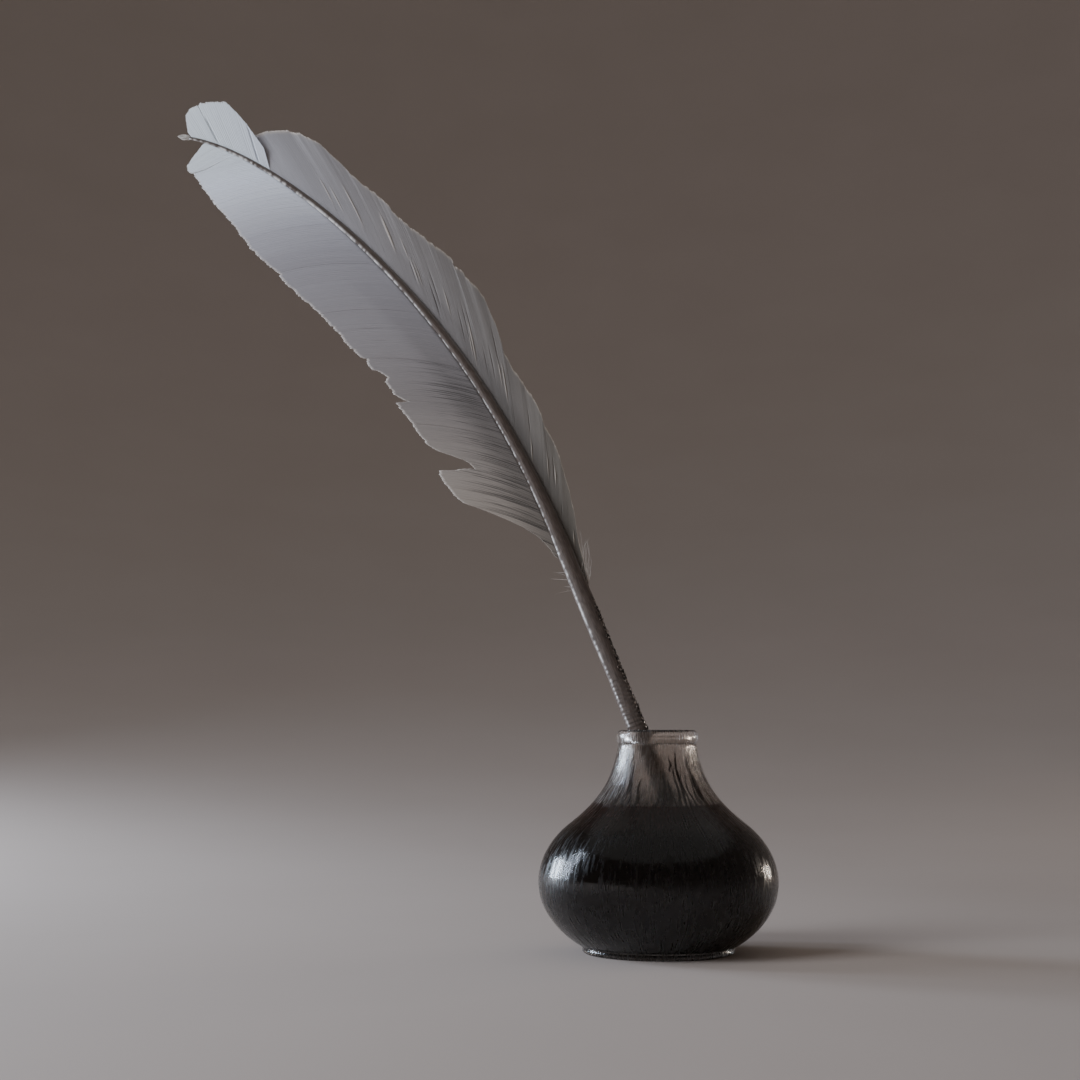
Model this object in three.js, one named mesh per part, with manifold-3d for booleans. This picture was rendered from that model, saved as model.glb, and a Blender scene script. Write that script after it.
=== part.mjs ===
// A quill pen standing in its glass ink bottle.
// Millimetres, +Z up. The origin is the centre of the bottle's underside, where it rests.
// The quill leans in the XZ plane: its nib is down at +X and its feather curves up towards -X.

import * as THREE from "three";
import { mergeVertices } from "three/addons/utils/BufferGeometryUtils.js";
import Module from "manifold-3d";

const wasm = await Module();
wasm.setup();

// ---- Driving dimensions ----

const GAP = 0.3; // clearance between pieces that lie against each other at an angle

const ROUND = 36; // sides of the bottle's turned pieces
const FOOT_RADIUS = 23;
const FOOT_HEIGHT = 1.7;
const BELLY_RADIUS = 36.2;
const BELLY_HEIGHT = 21; // height of the widest ring
const BELLY_DROP = 24.8; // half height of the belly's lower ellipse
const BELLY_RISE = 25.8; // half height of its upper ellipse
const SHOULDER_HEIGHT = 38.6; // where the belly turns into the neck
const FLARE_GUIDES = [[17.5, 45.6], [13.5, 51.5]]; // radius and height of the neck curve's handles
const INNER_DROP = 0.6; // how far the inner shoulder lies below the outer one, in wall thicknesses
const NECK_TOP = { radius: 11.8, height: 62.6 };
const GLASS_WALL = 2.1;
const FLOOR_TOP = 4.4;
const LIP_INNER_RADIUS = 9.3;
const LIP_OUTER_RADIUS = 12.45;
const LIP_TOP = 66.6;
const BEAD_MIDDLE = 1.6; // height of the lip bead's widest ring above the neck
const BEAD_TURN = 0.6; // radians by which the bead curls under itself on each side
const INK_LEVEL = 43;
const INK_STATION = 40; // distance from the nib at which the shaft passes the ink's surface

const QUILL_LENGTH = 309.5; // along the shaft, nib to tip
const NIB = new THREE.Vector3(19.1, 0, 5.9); // centre of the cut end, just above the bottle's floor
const LEAN = 22.2; // degrees from vertical, along the straight part
const BEND_START = 125.5; // distance from the nib at which the shaft begins to curve
const BEND = 41.5; // degrees added by the long, even curve
const TIP_HOOK = 21.3; // degrees added by the quick curl near the tip
const BOW = 2.5; // how far the tip stands out of the XZ plane

const BARREL_END = 82; // where the hollow barrel becomes the pith-filled shaft
const BARREL_WALL = 0.55;
const SHAFT_SIDES = 12;
const RACHIS_END = 307.5;
const PITH_END = 215;
const CORTEX_WALL = 0.5;

const NIB_CUT = 21; // length of the long scooped cut
const NIB_SHOULDER = 10; // where the tongue starts to narrow
const NIB_WIDTH = 1.1;
const SLIT = { width: 0.25, length: 8 };

const COLLAR = { height: 2.4, wall: 0.55 }; // film of ink clinging round the shaft
const WEB_THICKNESS = 0.6;
const WEB_STEP = 5; // distance along the shaft between a web's rows of points
const WEB_COLUMNS = 5; // flat strips across a web
const WEB_SPLIT = 0.9; // distance along the shaft between the webs on each side of a split
const WEB_OFFSET = 0.4; // distance from the shaft's side to the root of a web

// ---- Finishes ----

function glass() {
  return new THREE.MeshStandardMaterial({
    color: 0x4a4340,
    roughness: 0.05,
    metalness: 0,
    transparent: true,
    opacity: 0.4,
  });
}

function wetInk() {
  return new THREE.MeshStandardMaterial({ color: 0x0b090c, roughness: 0.1, metalness: 0 });
}

function horn() {
  return new THREE.MeshStandardMaterial({ color: 0x7a706b, roughness: 0.25, metalness: 0 });
}

function dryPith() {
  return new THREE.MeshStandardMaterial({ color: 0xcfc6b8, roughness: 0.9, metalness: 0 });
}

function feather() {
  return new THREE.MeshStandardMaterial({ color: 0x9fa3ad, roughness: 0.75, metalness: 0 });
}

function wornBarbs() {
  return new THREE.MeshStandardMaterial({ color: 0x54493f, roughness: 0.9, metalness: 0 });
}

// ---- Solid helpers ----

// A named piece of the pen.
function piece(name, geometry, material) {
  const mesh = new THREE.Mesh(geometry, material);
  mesh.name = name;
  return mesh;
}

// A solid of revolution about +Z from an outline of [radius, height] points.
function turned(outline, sides = ROUND) {
  const points = outline.map(([radius, height]) => new THREE.Vector2(radius, height));
  return new THREE.LatheGeometry(points, sides).rotateX(Math.PI / 2);
}

function toSolid(geometry) {
  const bare = new THREE.BufferGeometry();
  bare.setAttribute("position", geometry.getAttribute("position"));
  bare.setIndex(geometry.index);
  const merged = mergeVertices(bare, 1e-4);
  return new wasm.Manifold(
    new wasm.Mesh({
      numProp: 3,
      vertProperties: new Float32Array(merged.getAttribute("position").array),
      triVerts: new Uint32Array(merged.index.array),
    }),
  );
}

function fromSolid(solid) {
  const { numProp, numVert, vertProperties, triVerts } = solid.getMesh();
  const positions = new Float32Array(numVert * 3);
  for (let i = 0; i < numVert; i++) {
    positions.set(vertProperties.subarray(i * numProp, i * numProp + 3), i * 3);
  }
  const geometry = new THREE.BufferGeometry();
  geometry.setAttribute("position", new THREE.BufferAttribute(positions, 3));
  geometry.setIndex(new THREE.BufferAttribute(triVerts, 1));
  return geometry;
}

function cut(geometry, ...tools) {
  const left = tools.reduce((solid, tool) => solid.subtract(toSolid(tool)), toSolid(geometry));
  return fromSolid(left);
}

// A closed solid over a grid of points: rows of equal length, joined row to row, with each row closed
// on itself and the two end rows capped by fans about their middles.
function loft(rows) {
  const sides = rows[0].length;
  const points = rows.flat();
  const faces = [];
  for (let row = 0; row + 1 < rows.length; row++) {
    for (let k = 0; k < sides; k++) {
      const a = row * sides + k;
      const b = row * sides + ((k + 1) % sides);
      faces.push(a, b, b + sides, a, b + sides, a + sides);
    }
  }
  for (const [row, turn] of [[0, 1], [rows.length - 1, 0]]) {
    const middle = points.length;
    points.push(rows[row].reduce((sum, p) => sum.add(p), new THREE.Vector3()).divideScalar(sides));
    for (let k = 0; k < sides; k++) {
      const a = row * sides + k;
      const b = row * sides + ((k + 1) % sides);
      faces.push(...(turn ? [b, a, middle] : [a, b, middle]));
    }
  }
  return new THREE.BufferGeometry().setFromPoints(points).setIndex(faces);
}

// A closed thin plate about a grid of middle points, standing half its thickness to each side along Y.
function plate(grid, thickness) {
  const rows = grid.length;
  const columns = grid[0].length;
  const half = new THREE.Vector3(0, thickness / 2, 0);
  const front = grid.flat().map((p) => p.clone().sub(half));
  const back = grid.flat().map((p) => p.clone().add(half));
  const count = front.length;
  const faces = [];
  const quad = (a, b, c, d) => faces.push(a, b, c, a, c, d);
  for (let i = 0; i + 1 < rows; i++) {
    for (let j = 0; j + 1 < columns; j++) {
      const a = i * columns + j;
      quad(a, a + 1, a + columns + 1, a + columns);
      quad(count + a, count + a + columns, count + a + columns + 1, count + a + 1);
    }
  }
  const rim = [];
  for (let j = 0; j < columns; j++) rim.push(j);
  for (let i = 1; i < rows; i++) rim.push(i * columns + columns - 1);
  for (let j = columns - 2; j >= 0; j--) rim.push((rows - 1) * columns + j);
  for (let i = rows - 2; i > 0; i--) rim.push(i * columns);
  rim.forEach((a, k) => {
    const b = rim[(k + 1) % rim.length];
    quad(b, a, count + a, count + b);
  });
  return new THREE.BufferGeometry().setFromPoints([...front, ...back]).setIndex(faces);
}

// A smooth value along the shaft through a few [distance, value] stations.
function along(stations) {
  const curve = new THREE.SplineCurve(stations.map(([s, value]) => new THREE.Vector2(s, value)));
  return (s) => {
    let low = 0;
    let high = 1;
    for (let step = 0; step < 24; step++) {
      const middle = (low + high) / 2;
      if (curve.getPoint(middle).x < s) low = middle;
      else high = middle;
    }
    return curve.getPoint(low).y;
  };
}

// ---- The bottle ----

// An arc of an ellipse about the axis, as [radius, height] points, between two heights.
function ellipseArc(radius, centre, halfHeight, from, to, steps) {
  const first = Math.asin((from - centre) / halfHeight);
  const last = Math.asin((to - centre) / halfHeight);
  const points = [];
  for (let k = 0; k <= steps; k++) {
    const angle = first + ((last - first) * k) / steps;
    points.push([radius * Math.cos(angle), centre + halfHeight * Math.sin(angle)]);
  }
  return points;
}

// Belly and neck as one outline, moved inwards by inset, from one height up to another.
function bottleOutline(inset, from, to) {
  const belly = BELLY_RADIUS - inset;
  const lower = ellipseArc(belly, BELLY_HEIGHT, BELLY_DROP - inset, from, BELLY_HEIGHT, 6);
  const rise = BELLY_RISE - inset;
  const turn = SHOULDER_HEIGHT - INNER_DROP * inset;
  const upper = ellipseArc(belly, BELLY_HEIGHT, rise, BELLY_HEIGHT, turn, 4);
  const [turnRadius] = upper.at(-1);
  const [[lowRadius, lowHeight], [highRadius, highHeight]] = FLARE_GUIDES;
  const flare = new THREE.CubicBezierCurve(
    new THREE.Vector2(turnRadius, turn),
    new THREE.Vector2(lowRadius - inset, lowHeight - INNER_DROP * inset),
    new THREE.Vector2(highRadius - inset, highHeight),
    new THREE.Vector2(NECK_TOP.radius - inset, NECK_TOP.height),
  );
  const neck = flare.getPoints(7).map((p) => [p.x, p.y]);
  const outline = [...lower, ...upper.slice(1), ...neck.slice(1)];
  const below = outline.filter(([, height]) => height < to - 0.2);
  const above = outline[below.length];
  const last = below.at(-1);
  const share = (to - last[1]) / (above[1] - last[1]);
  return [...below, [last[0] + (above[0] - last[0]) * share, to]];
}

function bottleBody() {
  const outer = bottleOutline(0, FOOT_HEIGHT, NECK_TOP.height);
  const inner = bottleOutline(GLASS_WALL, FLOOR_TOP, NECK_TOP.height);
  return piece(
    "bottle_body",
    turned([[0, FOOT_HEIGHT], ...outer, ...inner.reverse(), [0, FLOOR_TOP]]),
    glass(),
  );
}

// The lip is a rolled bead of glass laid round the top of the neck.
function lipRing() {
  const base = NECK_TOP.height;
  const middle = (LIP_INNER_RADIUS + LIP_OUTER_RADIUS) / 2;
  const halfWidth = (LIP_OUTER_RADIUS - LIP_INNER_RADIUS) / 2;
  const halfHeight = LIP_TOP - base - BEAD_MIDDLE;
  const outline = [[middle - 1, base], [middle + 1, base]];
  const steps = 8;
  for (let k = 0; k <= steps; k++) {
    const angle = -BEAD_TURN + ((Math.PI + 2 * BEAD_TURN) * k) / steps;
    const height = base + BEAD_MIDDLE + halfHeight * Math.sin(angle);
    outline.push([middle + halfWidth * Math.cos(angle), height]);
  }
  outline.push(outline[0]);
  return piece("lip_ring", turned(outline), glass());
}

function footDisc() {
  const edge = 0.5;
  const outline = [
    [0, 0],
    [FOOT_RADIUS - edge, 0],
    [FOOT_RADIUS, edge],
    [FOOT_RADIUS, FOOT_HEIGHT - edge],
    [FOOT_RADIUS - edge, FOOT_HEIGHT],
    [0, FOOT_HEIGHT],
  ];
  return piece("foot_disc", turned(outline), glass());
}

// The ink fills the belly, and is open round the shaft that stands in it.
function ink() {
  const outline = bottleOutline(GLASS_WALL + GAP, FLOOR_TOP + GAP, INK_LEVEL);
  const body = turned([[0, FLOOR_TOP + GAP], ...outline, [0, INK_LEVEL]]);
  const radius = barrelRadius(INK_STATION) + GAP;
  const past = 15; // how far the cutting rod stands out of the ink at each end
  const well = new THREE.CylinderGeometry(radius, radius, INK_LEVEL + 2 * past, SHAFT_SIDES * 2);
  well.rotateX(Math.PI / 2);
  well.translate(0, 0, INK_LEVEL / 2);
  well.rotateY(-THREE.MathUtils.degToRad(LEAN));
  well.translate(NIB.x, NIB.y, NIB.z);
  return piece("ink", cut(body, well), wetInk());
}

// ---- The shaft's line ----

// Lean from vertical, in radians, at a distance s from the nib.
function leanAt(s) {
  const u = Math.max(0, (s - BEND_START) / (QUILL_LENGTH - BEND_START));
  return THREE.MathUtils.degToRad(LEAN + BEND * u ** 1.16 + TIP_HOOK * u ** 12.5);
}

// Centre of the shaft at a distance s from the nib: the lean added up in short steps.
function shaftAt(s) {
  const steps = Math.max(1, Math.round(s));
  const step = s / steps;
  const point = NIB.clone();
  for (let k = 0; k < steps; k++) {
    const lean = leanAt((k + 0.5) * step);
    point.x -= Math.sin(lean) * step;
    point.z += Math.cos(lean) * step;
  }
  const u = Math.max(0, (s - BEND_START) / (QUILL_LENGTH - BEND_START));
  point.y = -BOW * u ** 2;
  return point;
}

const barrelRadius = along([[0, 2.3], [12, 2.7], [25, 2.85], [60, 2.82], [85, 2.7], [100, 2.7]]);
const shaftRadius = along([
  [70, 2.75], [82, 2.7], [105, 2.82], [125, 2.55], [150, 2.0], [185, 1.62], [225, 1.25],
  [265, 0.9], [295, 0.58], [310, 0.42], [320, 0.3],
]);

// Rings of points about the shaft's line, of a given radius at each distance.
function shaftRings(from, to, rings, radiusAt, sides = SHAFT_SIDES) {
  const rows = [];
  for (let row = 0; row <= rings; row++) {
    const s = from + ((to - from) * row) / rings;
    const centre = shaftAt(s);
    const lean = leanAt(s);
    const across = new THREE.Vector3(Math.cos(lean), 0, Math.sin(lean));
    const ring = [];
    for (let k = 0; k < sides; k++) {
      const angle = (2 * Math.PI * (k + 0.5)) / sides;
      const point = centre.clone().addScaledVector(across, radiusAt(s) * Math.cos(angle));
      point.y += radiusAt(s) * Math.sin(angle);
      ring.push(point);
    }
    rows.push(ring);
  }
  return rows;
}

// ---- Barrel, shaft and their fillings ----

// Puts what is modelled upright about +Z on the straight part of the shaft, nib end at the origin.
function onShaft(...meshes) {
  const group = new THREE.Group();
  group.position.copy(NIB);
  group.rotation.y = -THREE.MathUtils.degToRad(LEAN);
  group.add(...meshes);
  return group;
}

// A flat outline in the plane of two axes, given thickness across it.
function slab(points, thickness) {
  const shape = new THREE.Shape(points.map(([x, y]) => new THREE.Vector2(x, y)));
  const solid = new THREE.ExtrudeGeometry(shape, { depth: thickness, bevelEnabled: false });
  return solid.translate(0, 0, -thickness / 2).rotateX(Math.PI / 2);
}

// The hollow barrel, with the long scoop, the shoulders and the slit that make its end a nib.
function barrel() {
  const stations = [0, 4, 8, 12, 16, 21, 27, 34, 42, 50, 58, 66, 74, BARREL_END];
  const outer = stations.map((s) => [barrelRadius(s), s]);
  const inner = stations.map((s) => [barrelRadius(s) - BARREL_WALL, s]).reverse();
  const tube = turned([...outer, ...inner, outer[0]], SHAFT_SIDES * 2);
  const wide = 8;
  const scoop = slab(
    [
      [wide, -1],
      [-1.5, -1],
      [-1.5, NIB_SHOULDER],
      [-1.1, NIB_CUT * 0.62],
      [-0.2, NIB_CUT * 0.74],
      [1.2, NIB_CUT * 0.86],
      [wide, NIB_CUT * 1.3],
    ],
    wide,
  );
  const half = NIB_WIDTH / 2;
  const shoulders = [1, -1].map((side) => {
    const outline = [
      [half * side, -1],
      [half * side, 0],
      [(half + 0.35) * side, NIB_SHOULDER * 0.45],
      [(half + 0.95) * side, NIB_SHOULDER * 0.8],
      [wide * side, NIB_SHOULDER],
      [wide * side, -1],
    ];
    return slab(side > 0 ? outline.reverse() : outline, wide).rotateZ(Math.PI / 2);
  });
  const slit = new THREE.BoxGeometry(wide, SLIT.width, SLIT.length * 2).translate(-wide / 2, 0, 0);
  return piece("barrel", cut(tube, scoop, ...shoulders, slit), horn());
}

// Thin dry skin inside the barrel: a thread with caps, left when the pulp shrinks up the barrel.
function barrelMembrane() {
  const thread = 0.35;
  const caps = 5;
  const first = NIB_CUT + 13;
  const pitch = (BARREL_END - 4 - first) / caps;
  const outline = [[0, first - 2], [thread, first - 2]];
  for (let k = 0; k < caps; k++) {
    const s = first + k * pitch;
    const rim = barrelRadius(s) - BARREL_WALL - GAP;
    outline.push([thread, s], [rim, s + 2.4], [rim, s + 2.8], [thread, s + 0.9]);
  }
  outline.push([thread, BARREL_END - 2], [0, BARREL_END - 2]);
  return piece("barrel_membrane", turned(outline, SHAFT_SIDES), dryPith());
}

function rachis() {
  const start = BARREL_END + GAP;
  const outer = loft(shaftRings(start, RACHIS_END, 34, shaftRadius));
  const boreRadius = (s) => shaftRadius(s) - CORTEX_WALL;
  const bore = loft(shaftRings(start - 1, PITH_END + 2, 20, boreRadius));
  return piece("rachis", cut(outer, bore), horn());
}

function pith() {
  const core = (s) => shaftRadius(s) - CORTEX_WALL - GAP;
  return piece("pith", loft(shaftRings(BARREL_END + 2, PITH_END, 16, core, 8)), dryPith());
}

// The film of ink that clings round the shaft just above the surface.
function inkCollar() {
  const inner = barrelRadius(INK_STATION) + GAP;
  const tilt = THREE.MathUtils.degToRad(LEAN);
  const outerRadius = inner + COLLAR.wall;
  const centre = INK_LEVEL + GAP + outerRadius * Math.sin(tilt) + COLLAR.height / 2;
  const s = (centre - NIB.z) / Math.cos(tilt);
  const outline = [
    [inner, s - COLLAR.height / 2],
    [outerRadius, s - COLLAR.height / 2],
    [inner + COLLAR.wall / 2, s + COLLAR.height / 2],
    [inner, s + COLLAR.height / 2],
    [inner, s - COLLAR.height / 2],
  ];
  return piece("ink_collar", turned(outline, SHAFT_SIDES * 2), wetInk());
}

// ---- The vane ----

// A point on a barb: an arc that leaves the side of the shaft at an angle and bends evenly.
// side is +1 for the wide vane and -1 for the narrow one; angle and bend are in degrees and degrees/mm.
function barbPoint(web, s, distance) {
  const { side, angle, bend, rise, curl } = web;
  const lean = leanAt(s);
  const root = shaftAt(s);
  const stand = shaftRadius(s) + WEB_OFFSET;
  root.x -= side * Math.cos(lean) * stand;
  root.z -= side * Math.sin(lean) * stand;
  const start = THREE.MathUtils.degToRad(angle);
  const turn = THREE.MathUtils.degToRad(bend);
  const end = start + turn * distance;
  const forward = (Math.sin(end) - Math.sin(start)) / turn;
  const outward = (Math.cos(start) - Math.cos(end)) / turn;
  return new THREE.Vector3(
    root.x - Math.sin(lean) * forward - side * Math.cos(lean) * outward,
    root.y + rise * outward + curl * outward ** 2,
    root.z + Math.cos(lean) * forward - side * Math.sin(lean) * outward,
  );
}

// A web: all the barbs between two distances along the shaft, hooked together into one thin plate.
function web(name, spec) {
  const lengthAt = along(spec.lengths);
  const rows = Math.max(4, Math.ceil((spec.to - spec.from) / WEB_STEP));
  const grid = [];
  for (let i = 0; i <= rows; i++) {
    const s = spec.from + ((spec.to - spec.from) * i) / rows;
    const row = [];
    for (let j = 0; j <= WEB_COLUMNS; j++) {
      row.push(barbPoint(spec, s, (lengthAt(s) * j) / WEB_COLUMNS));
    }
    grid.push(spec.side > 0 ? row.reverse() : row);
  }
  return piece(name, plate(grid, WEB_THICKNESS), feather());
}

// The wide vane hangs towards -X. It has split into four webs at old tears.
function wideVane() {
  const barbs = { side: 1, angle: 40, bend: 0.55, rise: 0.04, curl: 0.006 };
  const tears = [147, 190, 296];
  const half = WEB_SPLIT / 2;
  return [
    web("wide_web_base", {
      ...barbs,
      from: 121,
      to: tears[0] - half,
      lengths: [[121, 3], [125, 17], [131, 30], [138, 33.6], [144, 33], [148, 31]],
    }),
    web("wide_web_lower", {
      ...barbs,
      from: tears[0] + half,
      to: tears[1] - half,
      lengths: [[146, 19], [149, 25], [154, 32], [163, 33.4], [173, 31], [183, 33], [191, 32.6]],
    }),
    web("wide_web_main", {
      ...barbs,
      from: tears[1] + half,
      to: tears[2] - half,
      lengths: [[190, 34], [215, 34.9], [240, 33], [260, 28.4], [280, 21.4], [292, 15.5], [297, 12.5]],
    }),
    web("wide_web_tip", {
      ...barbs,
      from: tears[2] + half,
      to: 305.5,
      lengths: [[295, 11], [298, 12], [301, 9], [304, 4.5], [307, 2]],
    }),
  ];
}

// The narrow vane runs up close to the shaft. Its last web is a twisted lobe in front of the others.
function narrowVane() {
  const barbs = { side: -1, angle: 24, bend: -0.25, rise: 0.05, curl: 0.02 };
  const tears = [163, 229];
  const half = WEB_SPLIT / 2;
  return [
    web("narrow_web_base", {
      ...barbs,
      from: 110,
      to: tears[0] - half,
      lengths: [[109, 4], [113, 13], [119, 24], [128, 29], [147, 30.6], [156, 30.5], [163, 32]],
    }),
    web("narrow_web_middle", {
      ...barbs,
      from: tears[0] + half,
      to: tears[1] - half,
      lengths: [[163, 38], [170, 45.4], [185, 42.5], [203, 38.6], [217, 38.4], [230, 38]],
    }),
    web("narrow_web_upper", {
      ...barbs,
      from: tears[1] + half,
      to: 273,
      lengths: [[228, 43.5], [238, 42], [249, 37], [260, 29.5], [268, 25], [274, 22]],
    }),
    web("narrow_web_tip", {
      ...barbs,
      angle: 42,
      bend: 0.05,
      rise: -0.16,
      curl: 0.004,
      from: 281,
      to: 306,
      lengths: [[280, 9.5], [284, 15], [287.5, 18.5], [293, 16.5], [298, 13.5], [303, 8.5], [307, 4]],
    }),
  ];
}

// ---- Stripped edge and wisps ----

// A small rod beside the shaft, tapering at both ends.
function strand(name, from, to, line, thickness) {
  const steps = Math.max(4, Math.ceil((to - from) / 4));
  const sides = 6;
  const rows = [];
  for (let row = 0; row <= steps; row++) {
    const share = row / steps;
    const radius = thickness * (0.45 + 0.55 * Math.sin(Math.PI * share));
    const centre = line(from + (to - from) * share);
    const ring = [];
    for (let k = 0; k < sides; k++) {
      const angle = (2 * Math.PI * k) / sides;
      const x = centre.x + radius * Math.cos(angle);
      ring.push(new THREE.Vector3(x, centre.y + radius * Math.sin(angle), centre.z));
    }
    rows.push(ring);
  }
  return piece(name, loft(rows), wornBarbs());
}

// The barbs were stripped off here for the hand, which leaves a rough strip on the narrow side.
function strippedEdge() {
  const thickness = 0.5;
  const beside = (s) => {
    const centre = shaftAt(s);
    const lean = leanAt(s);
    const stand = Math.max(barrelRadius(s), shaftRadius(s)) + GAP + thickness;
    centre.x += Math.cos(lean) * stand;
    centre.z += Math.sin(lean) * stand;
    return centre;
  };
  return strand("stripped_edge", 71, 105, beside, thickness);
}

// Loose downy barbs left at the foot of each vane.
function downTufts() {
  const narrow = { side: -1, angle: 34, bend: -1.5, rise: -0.1, curl: -0.01 };
  const wide = { side: 1, angle: 45, bend: 3, rise: -0.05, curl: -0.01 };
  return [
    strand("down_tuft_narrow", 1.5, 17, (d) => barbPoint(narrow, 107, d), 0.6),
    strand("down_tuft_wide", 0.5, 5, (d) => barbPoint(wide, 114, d), 0.5),
  ];
}

// The shaft's end has frayed into a small tuft.
function tipTuft() {
  const start = RACHIS_END + GAP;
  const length = 4;
  const frayed = (s) => 0.45 + 0.5 * Math.sin((Math.PI * (s - start)) / (1.1 * length));
  return piece("tip_tuft", loft(shaftRings(start, start + length, 4, frayed, 8)), feather());
}

// ---- Assembly ----

const quillInBottle = new THREE.Group();
quillInBottle.add(bottleBody(), lipRing(), footDisc(), ink());
quillInBottle.add(onShaft(inkCollar(), barrel(), barrelMembrane()));
quillInBottle.add(rachis(), pith(), tipTuft());
quillInBottle.add(...wideVane(), ...narrowVane());
quillInBottle.add(strippedEdge(), ...downTufts());

export default quillInBottle;
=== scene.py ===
import math

import bpy
import numpy as np
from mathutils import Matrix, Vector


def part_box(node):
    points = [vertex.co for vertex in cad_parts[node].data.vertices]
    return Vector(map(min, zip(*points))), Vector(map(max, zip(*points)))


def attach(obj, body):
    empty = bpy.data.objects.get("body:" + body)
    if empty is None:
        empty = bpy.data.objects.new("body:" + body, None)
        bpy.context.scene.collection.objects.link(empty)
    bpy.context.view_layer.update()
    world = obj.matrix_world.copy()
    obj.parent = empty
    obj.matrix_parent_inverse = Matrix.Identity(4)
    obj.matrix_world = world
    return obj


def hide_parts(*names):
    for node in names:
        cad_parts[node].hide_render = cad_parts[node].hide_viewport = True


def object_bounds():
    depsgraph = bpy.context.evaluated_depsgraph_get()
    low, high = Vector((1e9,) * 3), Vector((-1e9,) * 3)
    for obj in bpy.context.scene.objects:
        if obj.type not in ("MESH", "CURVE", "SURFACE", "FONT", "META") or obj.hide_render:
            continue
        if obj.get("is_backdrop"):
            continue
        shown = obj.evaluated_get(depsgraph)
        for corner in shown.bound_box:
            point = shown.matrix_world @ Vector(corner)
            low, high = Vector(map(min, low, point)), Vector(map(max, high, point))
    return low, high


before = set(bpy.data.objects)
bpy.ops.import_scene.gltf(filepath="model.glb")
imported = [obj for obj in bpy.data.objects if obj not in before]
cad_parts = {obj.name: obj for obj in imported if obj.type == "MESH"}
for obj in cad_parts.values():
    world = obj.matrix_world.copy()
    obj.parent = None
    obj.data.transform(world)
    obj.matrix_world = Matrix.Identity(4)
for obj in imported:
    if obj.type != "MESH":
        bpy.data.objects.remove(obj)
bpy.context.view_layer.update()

# ---- The view ----
# A quill pen stands in its glass ink bottle. The camera is low in front of the bottle, level with
# its lip and tilted up a little, so that the feather sweeps away to the upper left.

CAMERA_DISTANCE = 0.5523
CAMERA_TILT = 96.18

bottle_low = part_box("bottle_body")[0]
lip_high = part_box("lip_ring")[1]

camera = bpy.data.objects.new("camera", bpy.data.cameras.new("camera"))
bpy.context.scene.collection.objects.link(camera)
bpy.context.scene.camera = camera
camera.data.sensor_width = 36
camera.data.lens = 60
camera.location = (bottle_low.x + 0.0005, -CAMERA_DISTANCE, lip_high.z - 0.0015)
camera.rotation_euler = (math.radians(CAMERA_TILT), 0, 0)


# ---- The studio ----
# A pale floor sweeps up into a wall all round, like a wide shallow bowl, so that no edge shows.
# A cool window stands to the left, with a weaker warm light far to the right.

def add_object(name, points, faces):
    """A smooth mesh object, from an array of points and a list of arrays of corner numbers, one for
    the triangles and one for the quads."""
    mesh = bpy.data.meshes.new(name)
    mesh.vertices.add(len(points))
    mesh.vertices.foreach_set("co", np.asarray(points, np.float32).ravel())
    corners = np.concatenate([f.ravel() for f in faces]).astype(np.int32)
    sizes = np.concatenate([np.full(len(f), f.shape[1]) for f in faces])
    mesh.loops.add(len(corners))
    mesh.loops.foreach_set("vertex_index", corners)
    mesh.polygons.add(len(sizes))
    mesh.polygons.foreach_set("loop_start", (np.cumsum(sizes) - sizes).astype(np.int32))
    mesh.polygons.foreach_set("use_smooth", np.ones(len(sizes), bool))
    mesh.update(calc_edges=True)
    thing = bpy.data.objects.new(name, mesh)
    bpy.context.scene.collection.objects.link(thing)
    return thing


def grid_quads(rows, columns, closed=False):
    """Corner numbers of a grid's quads: each joins a point to the next in its row and to the two
    above them. A closed grid also joins each row's last point to its first."""
    across = columns if closed else columns - 1
    row = np.arange(rows - 1)[:, None] * columns
    a = row + np.arange(across)
    b = row + (np.arange(across) + 1) % columns
    return np.stack([a, b, b + columns, a + columns], -1).reshape(-1, 4)


def plain_material(name, colour, roughness):
    """A Principled material; its shader node comes back with it, for what is plugged in later."""
    material = bpy.data.materials.new(name)
    material.use_nodes = True
    shader = material.node_tree.nodes["Principled BSDF"]
    shader.inputs["Base Color"].default_value = (*colour, 1)
    shader.inputs["Roughness"].default_value = roughness
    return material, shader


def add_node(material, kind, **values):
    """A shader node whose properties and unlinked inputs are set by name."""
    node = material.node_tree.nodes.new("ShaderNode" + kind)
    for key, value in values.items():
        if hasattr(node, key):
            setattr(node, key, value)
        else:
            node.inputs[key.replace("_", " ")].default_value = value
    return node


def wire(material, *links):
    """Links between nodes: each is a node, its output, another node and that one's input."""
    for source, output, target, entry in links:
        material.node_tree.links.new(source.outputs[output], target.inputs[entry])


def tone_ramp(material, stops):
    """A colour ramp through a few stops, each a position from 0 to 1 and a colour."""
    node = add_node(material, "ValToRGB")
    elements = node.color_ramp.elements
    while len(elements) < len(stops):
        elements.new(0.5)
    for element, (position, colour) in zip(elements, stops):
        element.position = position
        element.color = (*colour, 1)
    return node


def colour_by(material, shader, stops, kind="TexNoise", output="Fac", **values):
    """Colours a material by a texture fixed to the object, through the stops of a ramp. The
    texture's node comes back."""
    place = add_node(material, "TexCoord")
    texture = add_node(material, kind, **values)
    tone = tone_ramp(material, stops)
    wire(
        material,
        (place, "Object", texture, "Vector"),
        (texture, output, tone, "Fac"),
        (tone, "Color", shader, "Base Color"),
    )
    return texture


def times(material, factor=1):
    """A node that multiplies by a factor, or by whatever is linked to its second input."""
    node = add_node(material, "Math", operation="MULTIPLY")
    node.inputs[1].default_value = factor
    return node


def roughen(material, shader, texture, output, **values):
    """Bumps a material's surface by a texture's output."""
    bump = add_node(material, "Bump", **values)
    wire(material, (texture, output, bump, "Height"), (bump, "Normal", shader, "Normal"))


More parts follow.
